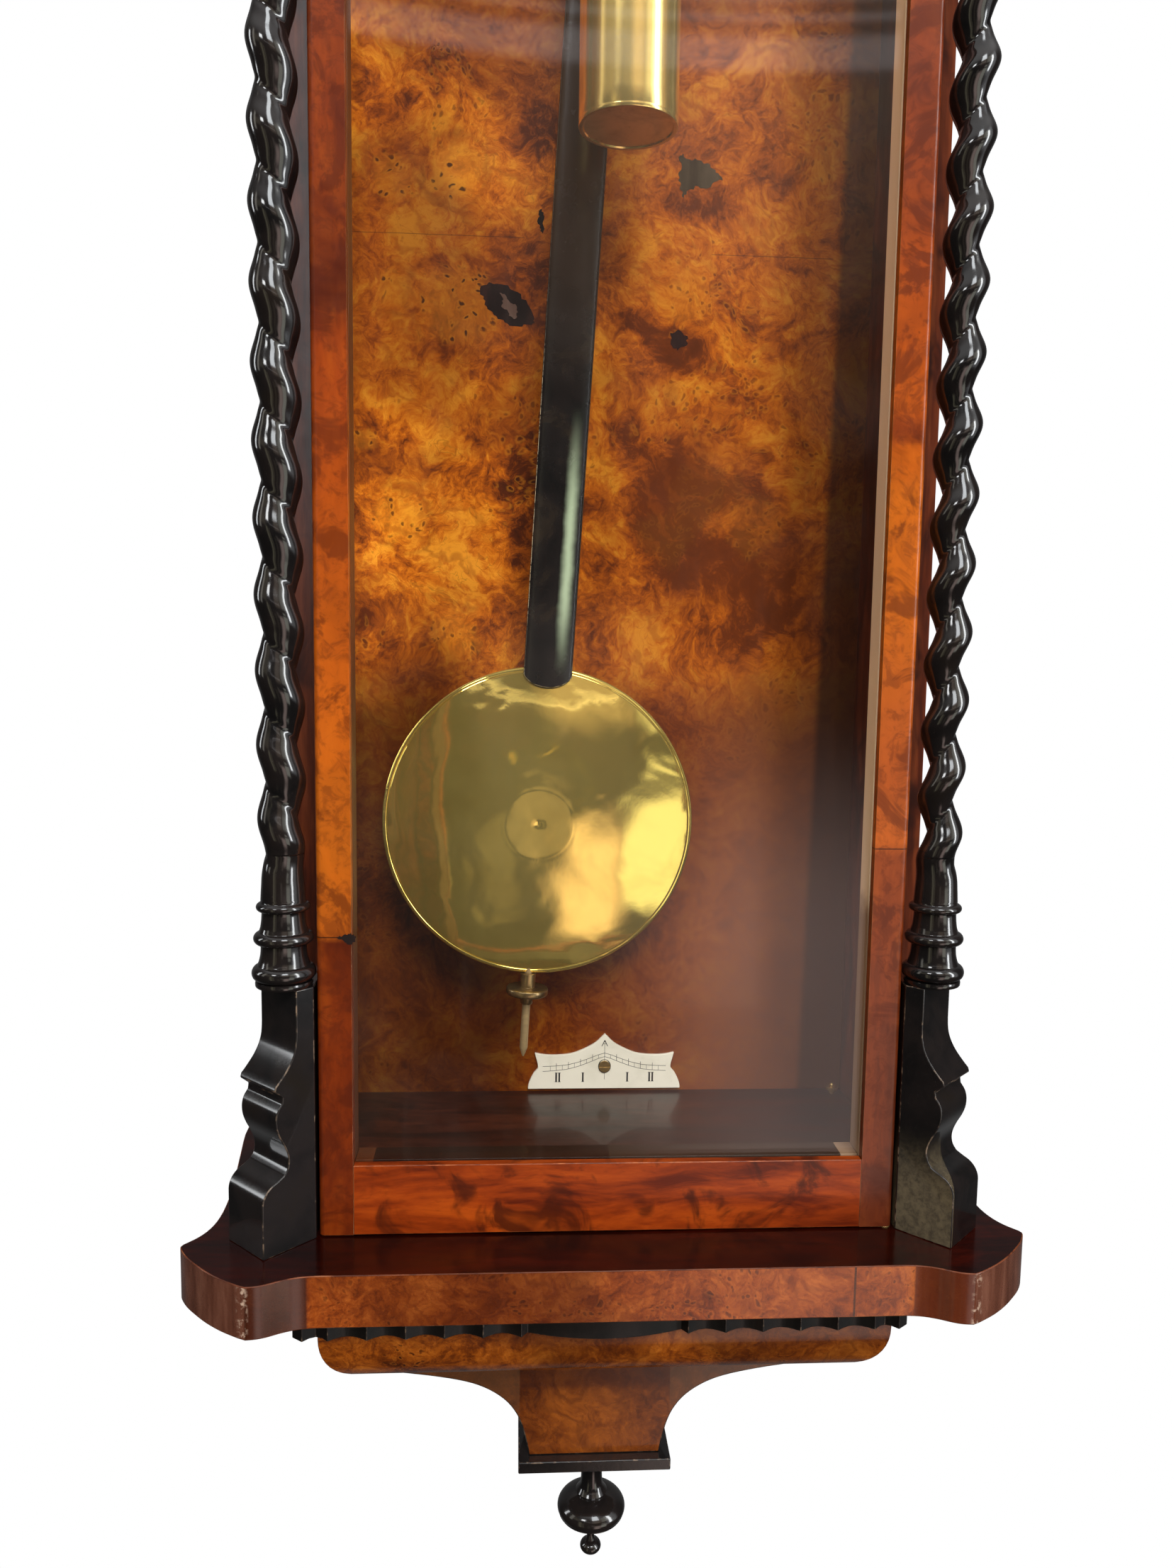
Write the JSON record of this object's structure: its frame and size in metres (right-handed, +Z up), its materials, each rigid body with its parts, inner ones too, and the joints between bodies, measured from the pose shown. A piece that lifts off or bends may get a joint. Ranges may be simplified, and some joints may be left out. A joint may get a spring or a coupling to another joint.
{
  "type": "wall clock",
  "caption": "Weight-driven pendulum wall clock in a glazed veneered case with twisted side columns, a hinged door and a pendant below.",
  "frame": {"origin": "centre of the hanger plate's hole at its back face, the plane of the wall", "axes": "+Z up, +Y from the clock's front towards the wall it hangs on, +X to the right as seen from the front"},
  "size_m": [0.4068, 0.1808, 1.2837],
  "materials": {
    "backboard": "polished",
    "platform": "polished",
    "ripple_moulding": "polished",
    "apron": "polished",
    "pendant_block": "polished",
    "pendant_plate": "polished",
    "bottom_finial": "polished",
    "floor_board": "polished",
    "ceiling_board": "polished",
    "side_frame_left": "polished",
    "side_frame_right": "polished",
    "side_glass": "polished",
    "twist_left": "polished",
    "twist_right": "polished",
    "column_turnings": "polished",
    "column_brackets": "polished",
    "cornice": "polished",
    "cornice_slab": "polished",
    "pediment": "polished",
    "top_finials": "polished",
    "hanger_plate": "polished",
    "wood_screws": "polished",
    "beat_plate": "polished",
    "steady_screws": "polished",
    "movement_bracket": "matte",
    "suspension_cock": "polished",
    "dial": "satin",
    "dial_bezel": "polished",
    "movement_frame": "polished",
    "pivot_pins": "polished",
    "strike_plate": "polished",
    "door_stiles": "polished",
    "door_rails": "polished",
    "door_glass": "polished",
    "glazing_beads": "satin",
    "door_bushes": "polished",
    "escutcheon": "polished",
    "lock_bolt": "polished",
    "suspension_spring": "satin",
    "pendulum_head": "polished",
    "pendulum_rod": "polished",
    "bob": "polished",
    "rating_stem": "polished",
    "rating_nut": "satin",
    "weight": "polished",
    "pulley_stirrup": "polished",
    "pulley": "polished",
    "gut_line": "matte",
    "great_wheel": "polished",
    "drum": "polished",
    "centre_arbor": "satin",
    "third_arbor": "satin",
    "escape_arbor": "satin",
    "anchor": "satin",
    "crutch": "polished",
    "minute_wheel": "polished",
    "hour_wheel": "polished",
    "hour_hand": "satin",
    "minute_hand": "satin",
    "seconds_hand": "satin"
  },
  "bodies": {
    "case": {"backboard": "backboard", "platform": "platform", "ripple_moulding": "ripple_moulding", "apron": "apron", "pendant_block": "pendant_block", "pendant_plate": "pendant_plate", "bottom_finial": "bottom_finial", "floor_board": "floor_board", "ceiling_board": "ceiling_board", "side_frame_left": "side_frame_left", "side_frame_right": "side_frame_right", "side_glass": "side_glass", "twist_left": "twist_left", "twist_right": "twist_right", "column_turnings": "column_turnings", "column_brackets": "column_brackets", "cornice": "cornice", "cornice_slab": "cornice_slab", "pediment": "pediment", "top_finials": "top_finials", "hanger_plate": "hanger_plate", "wood_screws": "wood_screws", "beat_plate": "beat_plate", "steady_screws": "steady_screws", "movement_bracket": "movement_bracket", "suspension_cock": "suspension_cock", "dial": "dial", "dial_bezel": "dial_bezel", "movement_frame": "movement_frame", "pivot_pins": "pivot_pins", "strike_plate": "strike_plate"},
    "door": {"door_stiles": "door_stiles", "door_rails": "door_rails", "door_glass": "door_glass", "glazing_beads": "glazing_beads", "door_bushes": "door_bushes", "escutcheon": "escutcheon"},
    "lock_bolt": {"lock_bolt": "lock_bolt"},
    "pendulum": {"suspension_spring": "suspension_spring", "pendulum_head": "pendulum_head", "pendulum_rod": "pendulum_rod", "bob": "bob", "rating_stem": "rating_stem"},
    "rating_nut": {"rating_nut": "rating_nut"},
    "weight": {"weight": "weight", "pulley_stirrup": "pulley_stirrup", "gut_line": "gut_line"},
    "pulley": {"pulley": "pulley"},
    "drum": {"drum": "drum"},
    "great_wheel": {"great_wheel": "great_wheel"},
    "centre": {"centre_arbor": "centre_arbor", "minute_hand": "minute_hand"},
    "third": {"third_arbor": "third_arbor"},
    "escape": {"escape_arbor": "escape_arbor", "seconds_hand": "seconds_hand"},
    "anchor": {"anchor": "anchor", "crutch": "crutch"},
    "minute_wheel": {"minute_wheel": "minute_wheel"},
    "hour": {"hour_wheel": "hour_wheel", "hour_hand": "hour_hand"}
  },
  "joints": [
    {"name": "door_hinge", "type": "hinge", "parent": "case", "child": "door", "pos_m": [0.137, -0.134, -0.507], "axis": [0, 0, 1], "range_deg": [0, 88]},
    {"name": "lock_throw", "type": "slide", "parent": "door", "child": "lock_bolt", "axis": [-1, 0, 0], "range_m": [0, 0.0038]},
    {"name": "pendulum_swing", "type": "hinge", "parent": "case", "child": "pendulum", "pos_m": [0, -0.045, -0.118], "axis": [0, -1, 0], "range_deg": [-0.9, 7.1]},
    {"name": "anchor_rock", "type": "hinge", "parent": "case", "child": "anchor", "pos_m": [0, -0.077, -0.118], "axis": [0, -1, 0], "range_deg": [-0.9, 7.1]},
    {"name": "rating_nut_turn", "type": "hinge", "parent": "pendulum", "child": "rating_nut", "pos_m": [-0.04016, -0.045, -0.85961], "axis": [0.0541, 0, 0.9985], "continuous": true},
    {"name": "weight_fall", "type": "slide", "parent": "case", "child": "weight", "axis": [0, 0, 1], "range_m": [-0.47, 0.008], "deforming": ["gut_line"]},
    {"name": "pulley_turn", "type": "hinge", "parent": "weight", "child": "pulley", "pos_m": [0.004, -0.087, -0.2732], "axis": [0, 1, 0], "range_deg": [-1360, 30]},
    {"name": "drum_turn", "type": "hinge", "parent": "case", "child": "drum", "pos_m": [0, -0.087, -0.2092], "axis": [0, 1, 0], "range_deg": [-3400, 70]},
    {"name": "centre_spin", "type": "hinge", "parent": "case", "child": "centre", "pos_m": [0, -0.087, -0.178], "axis": [0, 1, 0], "continuous": true},
    {"name": "great_wheel_turn", "type": "hinge", "parent": "case", "child": "great_wheel", "pos_m": [0, -0.0757, -0.2092], "axis": [0, 1, 0], "continuous": true},
    {"name": "third_spin", "type": "hinge", "parent": "case", "child": "third", "pos_m": [0.01398, -0.0803, -0.161], "axis": [0, 1, 0], "continuous": true},
    {"name": "escape_spin", "type": "hinge", "parent": "case", "child": "escape", "pos_m": [0, -0.0883, -0.148], "axis": [0, 1, 0], "continuous": true},
    {"name": "minute_wheel_turn", "type": "hinge", "parent": "case", "child": "minute_wheel", "pos_m": [-0.011, -0.099, -0.178], "axis": [0, 1, 0], "continuous": true},
    {"name": "hour_turn", "type": "hinge", "parent": "case", "child": "hour", "pos_m": [0, -0.1006, -0.178], "axis": [0, 1, 0], "continuous": true}
  ],
  "couplings": [
    {"joint": "anchor_rock", "follows": "pendulum_swing", "ratio": 1},
    {"joint": "pulley_turn", "follows": "weight_fall", "rad_per_m": 50},
    {"joint": "drum_turn", "follows": "weight_fall", "rad_per_m": 125},
    {"joint": "great_wheel_turn", "follows": "centre_spin", "ratio": -0.083333},
    {"joint": "third_spin", "follows": "centre_spin", "ratio": -10},
    {"joint": "escape_spin", "follows": "centre_spin", "ratio": 75},
    {"joint": "minute_wheel_turn", "follows": "centre_spin", "ratio": -0.33333},
    {"joint": "hour_turn", "follows": "centre_spin", "ratio": 0.083333}
  ]
}
